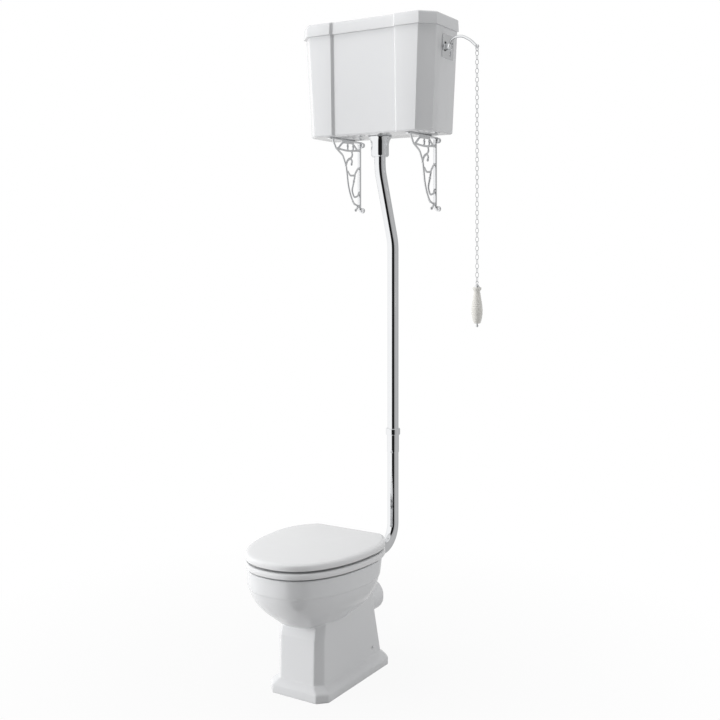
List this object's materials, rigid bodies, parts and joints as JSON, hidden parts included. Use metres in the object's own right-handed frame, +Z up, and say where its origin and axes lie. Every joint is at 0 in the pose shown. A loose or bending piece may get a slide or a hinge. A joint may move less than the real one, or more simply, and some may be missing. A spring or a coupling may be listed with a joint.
{
  "type": "high level toilet",
  "caption": "High level toilet: floor pan with hinged seat and lid, flush pipe, cistern on scroll brackets, and a side lever worked by a pull chain.",
  "frame": {"origin": "on the floor under the middle of the pan's plinth", "axes": "+Z up, +Y towards the wall, so the pan faces -Y and the lever is on +X"},
  "size_m": [0.6718, 0.74, 2.076],
  "materials": {
    "white_china": "gloss glaze",
    "pull_china": "gloss glaze",
    "white_seat": "gloss",
    "chrome": "polished",
    "bracket_plate": "plated casting",
    "steel": "bright",
    "white_plastic": "moulded",
    "black_rubber": "matt",
    "white_rubber": "matt",
    "clear_buffer": "soft",
    "brass": "machined"
  },
  "bodies": {
    "fixture": {"pan_body": "white_china", "hinge_pillars": "chrome", "hinge_pins": "chrome", "seat_fixing_bolts": "steel", "seat_fixing_washers": "black_rubber", "seat_wing_nuts": "white_plastic", "flush_cone": "white_rubber", "flush_pipe_lower": "chrome", "flush_pipe_upper": "chrome", "pipe_collar": "chrome", "collar_seal": "black_rubber", "bell_cover": "chrome", "siphon_backnut": "white_plastic", "siphon_seal": "black_rubber", "siphon_body": "white_plastic", "cistern_body": "white_china", "lever_plate": "chrome", "lever_screws": "chrome", "lever_pivot_pin": "chrome", "float_valve_body": "brass", "valve_backnut": "brass", "valve_washer": "black_rubber", "arm_pivot_pin": "brass", "bracket_left": "bracket_plate", "bracket_right": "bracket_plate"},
    "seat": {"seat_ring": "white_seat", "seat_buffers": "clear_buffer", "seat_hinge_knuckles": "chrome"},
    "lid": {"seat_lid": "white_seat", "lid_buffers": "clear_buffer", "lid_hinge_knuckles": "chrome"},
    "cistern_cover": {"cistern_lid": "white_china"},
    "lever": {"flush_lever": "chrome"},
    "plunger": {"siphon_plunger": "white_plastic", "plunger_diaphragm": "black_rubber", "lift_rod": "brass", "lift_link": "steel"},
    "hook": {"chain_ring": "chrome"},
    "pull": {"pull_chain": "chrome", "handle_ferrule": "chrome", "pull_handle": "pull_china", "handle_tip": "chrome"},
    "float": {"float_arm": "brass", "float_ball": "white_plastic"},
    "piston": {"valve_piston": "brass"}
  },
  "joints": [
    {"name": "seat_hinge", "type": "hinge", "parent": "fixture", "child": "seat", "pos_m": [0, 0.108, 0.404], "axis": [1, 0, 0], "range_deg": [-95, 0]},
    {"name": "lid_hinge", "type": "hinge", "parent": "seat", "child": "lid", "pos_m": [0, 0.108, 0.404], "axis": [-1, 0, 0], "range_deg": [0, 95]},
    {"name": "cistern_lid_lift", "type": "slide", "parent": "fixture", "child": "cistern_cover", "axis": [0, 0, 1], "range_m": [0, 0.12]},
    {"name": "flush_lever_pivot", "type": "hinge", "parent": "fixture", "child": "lever", "pos_m": [0.264, 0.295, 1.972], "axis": [0, 1, 0], "range_deg": [0, 16], "stiffness_Nm_per_rad": 1.5, "springref_deg": -20.05},
    {"name": "plunger_lift", "type": "slide", "parent": "fixture", "child": "plunger", "axis": [0, 0, 1], "range_m": [0, 0.0561]},
    {"name": "ring_pivot", "type": "hinge", "parent": "lever", "child": "hook", "pos_m": [0.362, 0.295, 1.963], "axis": [0, 1, 0], "range_deg": [-16.01, 0]},
    {"name": "chain_swing", "type": "hinge", "parent": "hook", "child": "pull", "pos_m": [0.362, 0.295, 1.955], "axis": [1, 0, 0], "range_deg": [-20, 20]},
    {"name": "float_arm_pivot", "type": "hinge", "parent": "fixture", "child": "float", "pos_m": [-0.206, 0.33, 1.948], "axis": [0, -1, 0], "range_deg": [0, 30]},
    {"name": "piston_slide", "type": "slide", "parent": "fixture", "child": "piston", "axis": [-1, 0, 0], "range_m": [0, 0.0066]}
  ],
  "couplings": [
    {"joint": "plunger_lift", "follows": "flush_lever_pivot", "m_per_rad": 0.2005},
    {"joint": "ring_pivot", "follows": "flush_lever_pivot", "ratio": -1},
    {"joint": "piston_slide", "follows": "float_arm_pivot", "m_per_rad": 0.0125}
  ]
}
